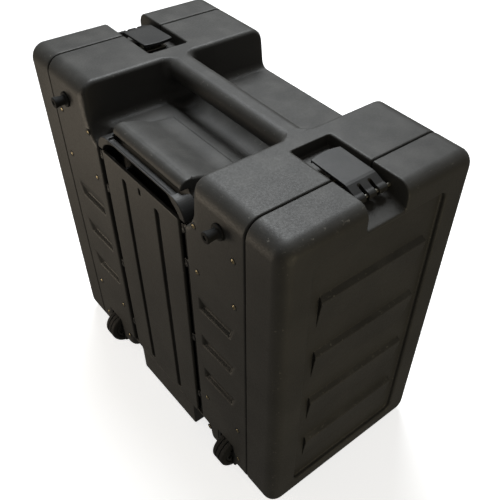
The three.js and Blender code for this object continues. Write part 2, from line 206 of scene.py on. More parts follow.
def bezier(start, first, second, end, count=14):
    """Points along a cubic curve from start to end, with two control points between."""
    t = np.linspace(0, 1, count)[:, None]
    a, b, c, d = (np.array(p, float) for p in (start, first, second, end))
    points = a * (1 - t) ** 3 + 3 * b * t * (1 - t) ** 2 + 3 * c * t * t * (1 - t) + d * t ** 3
    return [tuple(p) for p in points]


def smooth(v, start, end):
    """Rises gently from 0 at start to 1 at end."""
    t = np.clip((v - start) / (end - start), 0, 1)
    return t * t * (3 - 2 * t)


# --- From a field to a mesh ---------------------------------------------------------

def gradient(field, points, step):
    """Direction in which the field grows, at a list of points."""
    result = np.empty_like(points)
    for axis in range(3):
        ahead = points.copy()
        behind = points.copy()
        ahead[:, axis] += step
        behind[:, axis] -= step
        result[:, axis] = (field(*ahead.T) - field(*behind.T)) / (2 * step)
    return result


def onto_surface(field, points, reach, rounds):
    """Moves the points to where the field is zero, each step at most reach long."""
    for _ in range(rounds):
        slope = gradient(field, points, 0.1)
        steepness = np.maximum((slope ** 2).sum(1, keepdims=True), 0.05)
        move = -field(*points.T)[:, None] * slope / steepness
        length = np.sqrt((move ** 2).sum(1, keepdims=True))
        points = points + move * np.minimum(1, reach / np.maximum(length, 1e-9))
    return points


def surface_net(field, low, high, cell):
    """Points and four-sided faces of the surface, with one point in each cell it crosses."""
    axes = [np.arange(a - 1.5 * cell, b + 2.5 * cell, cell) for a, b in zip(low, high)]
    x, y, z = np.ix_(*axes)
    shape = tuple(len(axis) for axis in axes)
    values = np.broadcast_to(field(x, y, z), shape).astype(np.float32).ravel()
    inside = (values < 0).reshape(shape)

    corners = [(i, j, k) for i in (0, 1) for j in (0, 1) for k in (0, 1)]
    count = np.zeros([n - 1 for n in shape], np.int8)
    for i, j, k in corners:
        count += inside[i:shape[0] - 1 + i, j:shape[1] - 1 + j, k:shape[2] - 1 + k]
    crossed = (count > 0) & (count < 8)
    cells = np.argwhere(crossed)
    number = np.full(count.shape, -1, np.int32)
    number[crossed] = np.arange(len(cells), dtype=np.int32)

    strides = np.array([shape[1] * shape[2], shape[2], 1])
    base = cells @ strides
    at = {c: values[base + np.array(c) @ strides] for c in corners}
    total = np.zeros((len(cells), 3))
    hits = np.zeros(len(cells))
    for a in corners:
        for axis in range(3):
            if a[axis]:
                continue
            b = tuple(1 if i == axis else a[i] for i in range(3))
            hit = (at[a] < 0) != (at[b] < 0)
            t = np.where(hit, at[a] / np.where(hit, at[a] - at[b], 1), 0)
            for i in range(3):
                total[:, i] += np.where(hit, t if i == axis else a[i], 0)
            hits += hit
    origin = np.array([axis[0] for axis in axes])
    points = origin + cell * (cells + total / hits[:, None])

    faces = []
    for axis in range(3):
        u, v = [i for i in range(3) if i != axis]
        before = np.take(inside, range(shape[axis] - 1), axis)
        after = np.take(inside, range(1, shape[axis]), axis)
        edges = np.argwhere(before != after)
        edges = edges[(edges[:, u] > 0) & (edges[:, v] > 0)]
        solid_first = before[tuple(edges.T)]
        ring = []
        for du, dv in ((0, 0), (1, 0), (1, 1), (0, 1)):
            around = edges.copy()
            around[:, u] -= du
            around[:, v] -= dv
            ring.append(number[tuple(around.T)])
        ring = np.stack(ring, 1)
        flip = solid_first if axis == 1 else ~solid_first
        ring[flip] = ring[flip][:, ::-1]
        faces.append(ring)
    return points, np.concatenate(faces)


def plain_mesh(name, points, faces):
    mesh = bpy.data.meshes.new(name)
    mesh.vertices.add(len(points))
    mesh.vertices.foreach_set("co", points.astype(np.float32).ravel())
    sides = faces.shape[1]
    mesh.loops.add(faces.size)
    mesh.loops.foreach_set("vertex_index", faces.astype(np.int32).ravel())
    mesh.polygons.add(len(faces))
    mesh.polygons.foreach_set("loop_start", np.arange(0, faces.size, sides, dtype=np.int32))
    mesh.update(calc_edges=True)
    return mesh


def thinned(mesh, share):
    """The mesh with only that share of its faces, fewest where it is flat."""
    carrier = bpy.data.objects.new("carrier", mesh)
    bpy.context.scene.collection.objects.link(carrier)
    modifier = carrier.modifiers.new("thin", "DECIMATE")
    modifier.ratio = share
    graph = bpy.context.evaluated_depsgraph_get()
    result = bpy.data.meshes.new_from_object(carrier.evaluated_get(graph))
    bpy.data.objects.remove(carrier)
    bpy.data.meshes.remove(mesh)
    return result


def moulded(name, field, low, high, cell, share=1.0, crease=0.25):
    """A mesh in metres of a field, with the field's own smooth normals."""
    cell *= COARSE
    points, faces = surface_net(field, low, high, cell)
    points = onto_surface(field, points, 0.4 * cell, 1)
    mesh = plain_mesh(name, points, faces)
    if share < 1:
        mesh = thinned(mesh, share)
        points = np.empty(len(mesh.vertices) * 3, np.float32)
        mesh.vertices.foreach_get("co", points)
        points = onto_surface(field, points.reshape(-1, 3).astype(float), 0.3 * cell, 1)
    normals = gradient(field, points, crease)
    normals /= np.maximum(np.linalg.norm(normals, axis=1, keepdims=True), 1e-9)
    mesh.vertices.foreach_set("co", (points * MM).astype(np.float32).ravel())
    mesh.polygons.foreach_set("use_smooth", np.ones(len(mesh.polygons), bool))
    mesh.normals_split_custom_set_from_vertices(normals.tolist())
    mesh.name = name
    mesh.update()
    return mesh


def place(name, mesh, surface, body, replaced=(), at=(0, 0, 0), turn=None):
    """Puts a mesh in the scene on a CAD body. at is in millimetres from the body's middle."""
    piece = bpy.data.objects.new(name, mesh)
    bpy.context.scene.collection.objects.link(piece)
    if surface.name not in [m.name for m in mesh.materials if m]:
        mesh.materials.append(surface)
    offset = Vector((at[0] + MIDDLE_X, at[1], at[2])) * MM
    piece.matrix_world = Matrix.Translation(offset) @ (turn or Matrix.Identity(4))
    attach(piece, body)
    if replaced:
        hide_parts(*replaced)
    return piece


def half_turn(axis):
    return Matrix.Rotation(math.pi, 4, axis)


# --- Fields of the body ---------------------------------------------------------------

def case_section(x, z):
    return rectangle(x, z - MIDDLE_Z, HALF_WIDTH, HALF_HEIGHT, CORNER)


def waist(x, y, z):
    """The notches between the end blocks, at the top and the bottom at once."""
    ax = np.abs(x)
    rise = np.abs(z - RACK_Z) - WAIST_FLOOR
    near_face = np.clip(ax - HALF_WIDTH + WAIST_FLARE, 0, WAIST_FLARE)
    flare = WAIST_FLARE - np.sqrt(WAIST_FLARE ** 2 - near_face ** 2)
    near_rim = np.clip(ax - HALF_WIDTH + FLOOR_DROP, 0, FLOOR_DROP)
    drop = FLOOR_DROP - np.sqrt(FLOOR_DROP ** 2 - near_rim ** 2)
    slope = (WAIST_TOP_HALF - WAIST_HALF) / WAIST_SLOPE_HEIGHT
    sides = np.abs(y) - WAIST_HALF - slope * rise - flare
    return meet(sides, -rise - drop, 12)


def scoop(x, y, z):
    """Trough under the carry bar, for the fingers."""
    trough = np.sqrt(x ** 2 + (z - SCOOP_FLOOR - SCOOP_RADIUS) ** 2) - SCOOP_RADIUS
    return meet(trough, np.abs(y) - SCOOP_HALF, 10)


def deck(x, y, z):
    """The waist floor rises here to the height of the tow grip."""
    top = WAIST_FLOOR + RACK_Z - 2
    top = top + (DECK_TOP - top) * smooth(-x, -DECK_START, -DECK_END)
    return meet(meet(z - top, np.abs(y) - DECK_HALF, 6), np.maximum(-HALF_WIDTH - x, x - DECK_START))


def grip_hollow(x, y, z):
    """Leaf-shaped hollows beside the ends of the tow grip."""
    a, b, c = HOLLOW_SIZE
    u = (x + HALF_WIDTH) / a
    v = (np.abs(y) - BAY_HALF + 1) / b
    w = (z - DECK_TOP) / c
    return (np.sqrt(u * u + v * v + w * w) - 1) * b


def side_grooves(x, y, z):
    """Finger grooves in the tow side: the upper slope of each runs long, the lower short.

    Each slope and end is a plane: depth less rise times slope, over the length of its normal.
    """
    row = np.clip(np.round((z - GROOVE_MIDDLE) / GROOVE_PITCH), -1, 1)
    h = z - GROOVE_MIDDLE - GROOVE_PITCH * row
    depth = x + HALF_WIDTH
    upper = (depth - (15 - h) * 0.30) / 1.04
    lower = (depth - (h + 17) * 1.6) / 1.9
    ay = np.abs(y)
    ends = (depth - (ay - GROOVE_INNER) * 2.2) / 2.4
    tip = (depth - (GROOVE_OUTER - ay - 0.35 * (15 - h)) * 0.9) / 1.35
    return np.maximum(np.maximum(upper, lower), np.maximum(ends, tip))


def body_outside(x, y, z):
    ay = np.abs(y)
    block = meet(case_section(x, z), ay - HALF_DEPTH, 3)
    shape = without(block, waist(x, y, z), 7)
    shape = without(shape, scoop(x, y, z), 6)
    shape = merge(shape, deck(x, y, z), 5)
    bay = meet(meet(x - DECK_END, ay - BAY_HALF, 3), BAY_BOTTOM - z, 3)
    shape = without(shape, bay, 2)
    ledge = meet(meet(z - DECK_TOP, LEDGE_FRONT - x, LEDGE_ROLL),
                 np.abs(z - LEDGE_MIDDLE) - LEDGE_HALF_HEIGHT)
    ledge = meet(meet(ledge, ay - DECK_HALF, 3), x - DECK_END - 8)
    shape = merge(shape, ledge, 1)
    shape = without(shape, grip_hollow(x, y, z), 5)
    height = np.abs(z - MIDDLE_Z)
    latch_bay = meet(meet(np.abs(x) - LATCH_BAY_HALF, HALF_DEPTH - LATCH_BAY_DEPTH - ay, 4),
                     HALF_HEIGHT - LATCH_BAY_FLOOR - height, 3)
    shape = without(shape, latch_bay, 2.2)
    pocket = meet(meet(within(ay, WHEEL_Y, WHEEL_POCKET_HALF), x - WHEEL_POCKET_BACK, 3),
                  z - WHEEL_POCKET_TOP, 3)
    shape = without(shape, pocket, 2)
    return without(shape, side_grooves(x, y, z), 1.5)


def body(x, y, z):
    ay = np.abs(y)
    shape = body_outside(x, y, z)
    height = z - RACK_Z
    sleeve = meet(np.maximum(np.abs(x) - OPENING_HALF_X, np.abs(height) - OPENING_HALF_Z) - WALL,
                  HALF_DEPTH - TUNNEL_DEPTH - ay)
    room = without(shape + WALL, sleeve)
    bar = meet(rectangle(x, z - BODY_TOP + BAR_HALF_HEIGHT, BAR_HALF, BAR_HALF_HEIGHT, 19),
               ay - WAIST_TOP_HALF)
    shape = meet(merge(shape, bar, 13), z - BODY_TOP)
    shape = np.maximum(shape, -room)
    way_in = meet(meet(np.abs(x) - OPENING_HALF_X, np.abs(height) - OPENING_HALF_Z, 4),
                  HALF_DEPTH - TUNNEL_DEPTH - 8 - ay)
    return without(shape, way_in, 2)


# --- Fields of the lid, drawn at the front ---------------------------------------------

def panel_wedges(x, y, z):
    """Raised stiffening wedges: a short sloping top, and a face that thins out downwards."""
    row = np.clip(np.round((WEDGE_TOP - WEDGE_HEIGHT / 2 - z) / WEDGE_PITCH), 0, 3)
    below_top = WEDGE_TOP - WEDGE_PITCH * row - z
    height = PANEL_DEPTH - LID_FACE - y
    top_slope = (height - below_top * WEDGE_DEPTH / WEDGE_DROP) / 1.6
    face_slope = height - (WEDGE_HEIGHT - below_top) * WEDGE_DEPTH / (WEDGE_HEIGHT - WEDGE_DROP)
    ends = (np.abs(x) - WEDGE_HALF - 0.3 * height) / 1.04
    return meet(meet(top_slope, face_slope, 1), ends, 1)


def lid_notch(x, y, z):
    """Where the latch lies: its floor slopes down to the face, and the lower one stops short."""
    height = np.abs(z - MIDDLE_Z)
    along = (-y - LID_START) / (LID_FACE - LID_START)
    floor = HALF_HEIGHT - NOTCH_DEPTH_BACK - (NOTCH_DEPTH_FRONT - NOTCH_DEPTH_BACK) * along
    notch = meet(np.abs(x) - LATCH_BAY_HALF, (floor - height) * 0.96, 5)
    past_end_wall = np.where(z < MIDDLE_Z, -y - LOWER_NOTCH_END, -100)
    return meet(notch, past_end_wall, 3)


def lid_outside(x, y, z):
    shape = meet(case_section(x, z), -LID_FACE - y, LID_EDGE)
    panel = meet(rectangle(x, z - PANEL_MIDDLE_Z, PANEL_HALF_X, PANEL_HALF_Z, PANEL_CORNER),
                 y + LID_FACE - PANEL_DEPTH, 3)
    shape = without(shape, panel, 4)
    shape = merge(shape, panel_wedges(x, y, z))
    return without(shape, lid_notch(x, y, z), 2.5)


def lid(x, y, z):
    shape = lid_outside(x, y, z)
    return meet(np.maximum(shape, -shape - LID_WALL), y + LID_START, 2.6)


# --- Fields of the latch, drawn with its pin at the origin -------------------------------

LATCH_TOP = 15
LATCH_RISE = 2.6
LATCH_PLATE = 4
LATCH_BEND = 24
LATCH_REACH = 95
LATCH_HALF = 28.5
END_RADIUS = 90
SLEEVE_RADIUS = 6.5
PIN_RADIUS = 3
SLOT_X = 10


def latch(x, y, z):
    under = LATCH_TOP - LATCH_PLATE
    end = LATCH_TOP + LATCH_RISE
    profile = polygon(y, z, [
        (-5, 4), (2.5, -6), (LATCH_BEND + 2, under), (LATCH_REACH - 8, end - LATCH_PLATE),
        (LATCH_REACH - 5, end - LATCH_PLATE - 2.5), (LATCH_REACH + 2, end - LATCH_PLATE - 1),
        (LATCH_REACH + 2, end), (LATCH_BEND, LATCH_TOP), (LATCH_BEND - 5, LATCH_TOP - 1),
    ])
    bowed_end = np.sqrt(x * x + (y - LATCH_REACH + END_RADIUS) ** 2) - END_RADIUS
    plate = meet(meet(profile, np.abs(x) - LATCH_HALF, 1.2), bowed_end, 1.2)
    sleeve = meet(np.sqrt(y * y + z * z) - SLEEVE_RADIUS, np.abs(x) - LATCH_HALF, 0.8)
    shape = merge(plate, sleeve, 2)
    slot = meet(rectangle(np.abs(x) - SLOT_X, y - 3, 3, 12, 2.5), -8.5 - z)
    shape = without(shape, slot, 0.6)
    return np.maximum(shape, PIN_RADIUS + 0.3 - np.sqrt(y * y + z * z))


def latch_pin(x, y, z):
    half = LATCH_BAY_HALF + 3
    return meet(np.sqrt(y * y + z * z) - PIN_RADIUS, np.abs(x) - half, 0.8)


# --- Fields of the tow handle --------------------------------------------------------------

GRIP_LOW, GRIP_HIGH = span("tow_grip")
GRIP_LIP = 3
GRIP_THICKNESS = 8
GRIP_LEAN = 0.5
GUTTER_FLOOR = 584
COVER_THICKNESS = 6
COVER_RIB_Y = 70
COVER_RIB_HALF_DEPTH = 14.4
COVER_GROOVE_Y = 48
COVER_GROOVE_MIDDLE = 309
COVER_GROOVE_HALF = 227
KEYHOLE_Z = 540

LEG_BOTTOM = GRIP_LOW[2]
GRIP_TOP = GRIP_HIGH[2]
OUTER_SIDE = bezier((BAY_HALF - 3, LEG_BOTTOM), (BAY_HALF - 5, LEG_BOTTOM + 16),
                    (DECK_HALF + 14, GRIP_TOP), (DECK_HALF - 4, GRIP_TOP))
INNER_SIDE = bezier((DECK_HALF - 18, GRIP_TOP - GRIP_THICKNESS),
                    (DECK_HALF - 2, GRIP_TOP - GRIP_THICKNESS),
                    (BAY_HALF - 21, LEG_BOTTOM + 10), (BAY_HALF - 17, LEG_BOTTOM))
GRIP_OUTLINE = OUTER_SIDE + [(-1, GRIP_TOP), (-1, GRIP_TOP - GRIP_THICKNESS)] + INNER_SIDE


def tow_grip(x, y, z):
    """The bow: a bar with a gutter behind its lip, and two legs that meet the tubes."""
    ay = np.abs(y)
    bow = polygon(ay, z, GRIP_OUTLINE)
    back = LEDGE_FRONT - 0.5 + (GRIP_HIGH[0] - LEDGE_FRONT) * smooth(ay, DECK_HALF + 1, DECK_HALF + 7)
    front = GRIP_LOW[0] + GRIP_LEAN * (GRIP_TOP - z) * (1 - smooth(ay, DECK_HALF - 25, DECK_HALF))
    shape = meet(bow, meet(front - x, x - back), 1.4)
    gutter = meet(meet(front + GRIP_LIP - x, GUTTER_FLOOR - z, 3), ay - DECK_HALF + 5, 4)
    return without(shape, gutter, 0.8)


def tow_cover(x, y, z):
    low, high = span("tow_cover")
    half_z = (high[2] - low[2]) / 2
    height = z - (high[2] + low[2]) / 2
    half_thickness = COVER_THICKNESS / 2
    plate = meet(rectangle(y, height, high[1], half_z, 5),
                 within(x, low[0] + half_thickness, half_thickness), 1.5)
    rib = meet(rectangle(np.abs(y) - COVER_RIB_Y, height, 3, half_z - 20, 1),
               within(x, low[0] + half_thickness + COVER_RIB_HALF_DEPTH - 0.4, COVER_RIB_HALF_DEPTH))
    shape = merge(plate, rib, 2)
    groove = meet(rectangle(np.abs(y) - COVER_GROOVE_Y, z - COVER_GROOVE_MIDDLE,
                            6, COVER_GROOVE_HALF, 5.5),
                  x - low[0] - 5.2, 0.5)
    keyhole = meet(rectangle(y, z - KEYHOLE_Z, 3, 7, 2.9), x - low[0] - 5, 0.5)
    shape = without(shape, groove, 1)
    return without(shape, keyhole, 0.7)


def square_tube(half_x, half_y, length, wall, radius):
    """The field of an open tube that stands on z = 0."""
    def field(x, y, z):
        section = rectangle(x, y, half_x, half_y, radius)
        pipe = np.maximum(section, -section - wall)
        return meet(pipe, np.abs(z - length / 2) - length / 2, 0.3)
    return field


def tube_clip(x, y, z):
    """Bridge over a guide tube, with a tab at one corner up and one at the other down."""
    bridge = meet(rectangle(y, z, 7, 7, 2), np.abs(x) - 1.5, 0.6)
    tab = rectangle(y * np.sign(z + 1e-9) + 5, np.abs(z) - 7.5, 3.4, 3.5, 1.5)
    tabs = meet(tab, np.abs(x) - 1.5, 0.6)
    hook = meet(rectangle(y - 0.55 * z, z, 1.6, 6, 1.2), np.abs(x + 1.4) - 1.2, 0.5)
    return merge(merge(bridge, tabs, 1), hook, 0.8)


# --- Fields of the wheels and feet -----------------------------------------------------------

WHEEL_HALF = 17
TYRE_INNER = 25
AXLE_RADIUS = 5
CHEEK = 5.5


def tyre(x, y, z):
    radius = np.sqrt(x * x + z * z)
    ring = rectangle(radius - (WHEEL_RADIUS + TYRE_INNER) / 2 - 0.15, y,
                     (WHEEL_RADIUS - TYRE_INNER) / 2 - 0.15, WHEEL_HALF, 5)
    tread = rectangle(radius - WHEEL_RADIUS, np.abs(y) - 5, 1.6, 1.0, 0.6)
    return without(ring, tread, 0.5)


def wheel_hub(x, y, z):
    radius = np.sqrt(x * x + z * z)
    drum = meet(radius - TYRE_INNER, np.abs(y) - WHEEL_HALF + 2, 1)
    dish = meet(within(radius, 17, 4.2), 9 - np.abs(y), 1)
    spoke = np.abs(np.sin(2.5 * np.arctan2(z, x))) * radius / 2.5 - 1.6
    dish = without(dish, spoke, 1.2)
    shape = without(drum, dish, 0.8)
    return np.maximum(shape, AXLE_RADIUS + 0.3 - radius)


def wheel_housing(x, y, z):
    low, high = span("rear_wheel_housing")
    center = (low + high) / 2
    half = (high - low) / 2
    block = meet(rectangle(x - center[0], z - center[2], half[0], half[2], 3),
                 np.abs(y) - half[1], 1)
    room = meet(rectangle(x - center[0] + 5, z - center[2] + 5, half[0] + 2, half[2] + 2, 6),
                np.abs(y) - half[1] + CHEEK, 2)
    shape = without(block, room, 1)
    bore = AXLE_RADIUS + 0.3 - np.sqrt((x - WHEEL_X) ** 2 + (z - WHEEL_Z) ** 2)
    boss = meet(np.sqrt((x - WHEEL_X) ** 2 + (z - WHEEL_Z) ** 2) - 10,
                np.abs(np.abs(y) - half[1] + CHEEK / 2) - CHEEK / 2 + 0.2, 0.8)
    return np.maximum(np.minimum(shape, boss), bore)


def foot(x, y, z):
    radius = np.sqrt(x * x + y * y)
    disc = meet(radius - 17, np.abs(z - 3.85) - 3.85, 1.5)
    ring = meet(within(radius, 11, 1.2), z - 0.8)
    return without(disc, ring, 0.4)


SIDE_FOOT_LENGTH = 23


def side_foot(x, y, z):
    """Rubber bumper that points along -x: a flange, a waisted stem and a hollow tip."""
    radius = np.sqrt(y * y + z * z)
    flange = meet(radius - 13, within(x, -2, 1.9), 1.2)
    stem = meet(radius - 8.5 + 0.8 * np.sin(np.clip(-x, 0, SIDE_FOOT_LENGTH) * 0.2),
                within(x, -SIDE_FOOT_LENGTH / 2, SIDE_FOOT_LENGTH / 2), 2)
    tip = meet(radius - 3.6, x + SIDE_FOOT_LENGTH - 2, 0.5)
    return without(merge(flange, stem, 3), tip, 0.8)


# --- Fields of the hardware ----------------------------------------------------------------

RAIL_BOLT_X = 60
HOLE_RADIUS = 3.4
RACK_UNIT = 44.45
RACK_UNITS = 4
HOLE_STEPS = (-15.875, 0, 15.875)


def rack_rail(x, y, z):
    """The front upper rail: a folded angle with round panel holes and bolt holes."""
    low, high = span("front_upper_rack_rail")
    face = meet(within(y, low[1] + 1.25, 1.25), low[2] - z, 0.5)
    web = meet(within(z, high[2] - 1.25, 1.25), y - high[1], 0.5)
    angle = meet(merge(face, web, 2), meet(z - high[2], low[1] - y, 2.5))
    shape = meet(meet(angle, np.maximum(np.abs(x) - high[0], low[2] - z), 0.4), y - high[1], 0.4)
    hole_z = RACK_Z + 465.1 / 2
    first = -(RACK_UNITS - 1) / 2 * RACK_UNIT
    unit = np.clip(np.round((x - first) / RACK_UNIT), 0, RACK_UNITS - 1)
    off = x - first - unit * RACK_UNIT
    nearest = off - HOLE_STEPS[2] * np.clip(np.round(off / HOLE_STEPS[2]), -1, 1)
    panel_hole = meet(np.sqrt(nearest ** 2 + (z - hole_z) ** 2) - HOLE_RADIUS, y - low[1] - 8)
    bolt_y = low[1] + (high[1] - low[1]) / 2
    bolt_hole = np.sqrt((np.abs(x) - RAIL_BOLT_X) ** 2 + (y - bolt_y) ** 2) - 3.3
    shape = without(shape, panel_hole, 0.4)
    return without(shape, meet(bolt_hole, high[2] - 6 - z), 0.4)


def keeper(x, y, z):
    """Catch plate on the floor of the front upper latch bay."""
    low, high = span("front_upper_keeper")
    base = meet(rectangle(x, y - (low[1] + high[1]) / 2, 22, 16, 3), within(z, low[2] + 1.25, 1.25), 0.5)
    nose = meet(meet(within(y, low[1] + 14, 4), np.abs(x) - 20, 1.5),
                np.maximum(z - high[2], low[2] + 0.5 - z), 1.2)
    hole = np.sqrt((np.abs(x) - 12) ** 2 + (y - low[1] - 25) ** 2) - 2.4
    return without(merge(base, nose, 1.5), hole, 0.4)


def lid_seal(x, y, z):
    """Rubber cord along the middle of the lid's rim, round the latch notches too."""
    height = np.abs(z - MIDDLE_Z)
    bay = meet(np.abs(x) - LATCH_BAY_HALF, HALF_HEIGHT - NOTCH_DEPTH_BACK - height, 5)
    rim = without(case_section(x, z), bay, 2.5)
    return meet(np.abs(rim + 4) - 1, np.abs(y + (LID_START + HALF_DEPTH) / 2) - 0.8, 0.6)


SCREW_HEAD = 3.9


def screw_head(x, y, z):
    """A pan head that faces -x, with a cross recess."""
    radius = np.sqrt(y * y + z * z)
    dome = np.sqrt((x - 4.5) ** 2 + radius ** 2) - 6.2
    head = meet(meet(dome, radius - SCREW_HEAD, 0.5), x - 0.4)
    arm = meet(np.minimum(np.maximum(np.abs(y) - 0.55, np.abs(z) - 2.3),
                          np.maximum(np.abs(z) - 0.55, np.abs(y) - 2.3)), x + 0.5)
    return without(head, arm, 0.15)


def screw_cup(x, y, z):
    """Black cup washer under a screw head."""
    radius = np.sqrt(y * y + z * z)
    return rectangle(radius - SCREW_HEAD - 1.2, x, 0.9, 0.7, 0.5)


# --- Surfaces --------------------------------------------------------------------------

def plastic(name, color, pale, roughness, grain, relief, wear, dust):
    """Moulded plastic or rubber: a pebbled relief, cloudy tone, pale scuffs on curved edges."""
    material = bpy.data.materials.new(name)
    material.use_nodes = True
    nodes = material.node_tree.nodes
    links = material.node_tree.links
    shader = nodes["Principled BSDF"]
    shader.inputs["Specular IOR Level"].default_value = 0.42
    place_of = nodes.new("ShaderNodeTexCoord")

    def noise(size, detail, rough=0.55):
        node = nodes.new("ShaderNodeTexNoise")
        node.inputs["Scale"].default_value = 1 / (size * MM)
        node.inputs["Detail"].default_value = detail
        node.inputs["Roughness"].default_value = rough
        links.new(place_of.outputs["Object"], node.inputs["Vector"])
        return node.outputs["Fac"]

    def ramp(value, start, end, low=0.0, high=1.0):
        node = nodes.new("ShaderNodeMapRange")
        node.interpolation_type = "SMOOTHSTEP"
        node.inputs["From Min"].default_value = start
        node.inputs["From Max"].default_value = end
        node.inputs["To Min"].default_value = low
        node.inputs["To Max"].default_value = high
        links.new(value, node.inputs["Value"])
        return node.outputs["Result"]

    def combine(operation, a, b):
        node = nodes.new("ShaderNodeMath")
        node.operation = operation
        for socket, value in zip(node.inputs, (a, b)):
            if isinstance(value, (int, float)):
                socket.default_value = value
            else:
                links.new(value, socket)
        return node.outputs["Value"]

    def mix(factor, a, b):
        node = nodes.new("ShaderNodeMix")
        node.data_type = "RGBA"
        links.new(factor, node.inputs["Factor"])
        for socket, value in ((node.inputs["A"], a), (node.inputs["B"], b)):
            if isinstance(value, tuple):
                socket.default_value = (*value, 1)
            else:
                links.new(value, socket)
        return node.outputs["Result"]

    # Curved edges are where the normal lies far from every axis
    axes = nodes.new("ShaderNodeSeparateXYZ")
    links.new(place_of.outputs["Normal"], axes.inputs["Vector"])
    sizes = [combine("ABSOLUTE", axes.outputs[axis], 0) for axis in "XYZ"]
    flatness = combine("MAXIMUM", combine("MAXIMUM", sizes[0], sizes[1]), sizes[2])
    edge = ramp(flatness, 0.97, 0.80)

    cloud = ramp(noise(90, 3), 0.3, 0.7)
    tone = mix(cloud, tuple(c * 0.86 for c in color), tuple(min(1, c * 1.14) for c in color))
    scuffs = ramp(noise(7, 4, 0.7), 0.60, 0.74)
    scuffed = combine("MULTIPLY", combine("MULTIPLY", edge, scuffs), wear)
    tone = mix(scuffed, tone, pale)
    facing_up = ramp(axes.outputs["Z"], 0.4, 1.0)
    settled = combine("MULTIPLY", combine("MULTIPLY", facing_up, ramp(noise(35, 4), 0.35, 0.75)), dust)
    tone = mix(settled, tone, (0.30, 0.29, 0.27))
    links.new(tone, shader.inputs["Base Color"])

    shine = ramp(noise(3 * grain, 2), 0.25, 0.75, roughness - 0.06, roughness + 0.07)
    links.new(shine, shader.inputs["Roughness"])

    relief_height = combine("ADD", noise(grain, 3), combine("MULTIPLY", noise(grain * 3.3, 2), 0.8))
    bump = nodes.new("ShaderNodeBump")
    bump.inputs["Strength"].default_value = relief
    bump.inputs["Distance"].default_value = 0.25 * grain * MM
    links.new(relief_height, bump.inputs["Height"])
    links.new(bump.outputs["Normal"], shader.inputs["Normal"])
    return material


def metal(name, color, roughness, tint, metallic=1.0):
    """Plated, painted or anodised metal with fine streaks along z and slight blotches."""
    material = bpy.data.materials.new(name)
    material.use_nodes = True
    nodes = material.node_tree.nodes
    links = material.node_tree.links
    shader = nodes["Principled BSDF"]
    shader.inputs["Metallic"].default_value = metallic
    place_of = nodes.new("ShaderNodeTexCoord")
    stretch = nodes.new("ShaderNodeMapping")
    stretch.inputs["Scale"].default_value = (1, 1, 0.06)
    links.new(place_of.outputs["Object"], stretch.inputs["Vector"])
    streaks = nodes.new("ShaderNodeTexNoise")
    streaks.inputs["Scale"].default_value = 1600
    streaks.inputs["Detail"].default_value = 3
    links.new(stretch.outputs["Vector"], streaks.inputs["Vector"])
    blotches = nodes.new("ShaderNodeTexNoise")
    blotches.inputs["Scale"].default_value = 120
    blotches.inputs["Detail"].default_value = 4
    links.new(place_of.outputs["Object"], blotches.inputs["Vector"])

    shade = nodes.new("ShaderNodeValToRGB")
    shade.color_ramp.elements[0].position = 0.35
    shade.color_ramp.elements[0].color = (*(c * 0.7 for c in color), 1)
    shade.color_ramp.elements[1].position = 0.7
    shade.color_ramp.elements[1].color = (*(min(1, c * t) for c, t in zip(color, tint)), 1)
    links.new(blotches.outputs["Fac"], shade.inputs["Fac"])
    links.new(shade.outputs["Color"], shader.inputs["Base Color"])

    shine = nodes.new("ShaderNodeMapRange")
    shine.inputs["To Min"].default_value = roughness - 0.08
    shine.inputs["To Max"].default_value = roughness + 0.12
    links.new(streaks.outputs["Fac"], shine.inputs["Value"])
    links.new(shine.outputs["Result"], shader.inputs["Roughness"])
    bump = nodes.new("ShaderNodeBump")
    bump.inputs["Strength"].default_value = 0.15
    bump.inputs["Distance"].default_value = 0.00005
    links.new(streaks.outputs["Fac"], bump.inputs["Height"])
    links.new(bump.outputs["Normal"], shader.inputs["Normal"])
    return material


moulded_black = plastic(
    "moulded_black", color=(0.047, 0.046, 0.043), pale=(0.26, 0.25, 0.22),
    roughness=0.52, grain=1.1, relief=0.60, wear=0.75, dust=0.10)
moulded_parts = plastic(
    "moulded_parts", color=(0.021, 0.021, 0.021), pale=(0.16, 0.15, 0.14),
    roughness=0.48, grain=0.5, relief=0.30, wear=0.30, dust=0.06)
seal_rubber = plastic(
    "seal_rubber", color=(0.012, 0.012, 0.012), pale=(0.05, 0.05, 0.05),
    roughness=0.80, grain=0.6, relief=0.30, wear=0.2, dust=0.05)
tyre_rubber = plastic(
    "tyre_rubber", color=(0.016, 0.016, 0.016), pale=(0.12, 0.11, 0.10),
    roughness=0.78, grain=0.8, relief=0.45, wear=0.5, dust=0.15)
black_steel = metal("black_steel", (0.010, 0.010, 0.010), 0.50, (1.2, 1.2, 1.2), metallic=0.2)
zinc_steel = metal("zinc_steel", (0.46, 0.44, 0.39), 0.38, (1.2, 1.18, 1.1))
aluminium = metal("aluminium", (0.52, 0.53, 0.54), 0.33, (1.15, 1.15, 1.15))
brass_screw = metal("brass_screw", (0.42, 0.36, 0.24), 0.34, (1.25, 1.2, 1.1))


# --- Body and lids ----------------------------------------------------------------------

low, high = span("body_shell")
place("body_moulding", moulded("body_moulding", body, low, high, 3.0, 0.22),
      moulded_black, "case", ["body_shell"])

low, high = span("front_lid")
lid_mesh = moulded("lid_moulding", lid, low, high, 2.2, 0.30)
for end in ENDS:
    place(f"{end}_lid_moulding", lid_mesh, moulded_black, f"{end}_lid_body",
          [f"{end}_lid"], turn=half_turn("Z") if end == "rear" else None)

# --- Latches ---------------------------------------------------------------------------

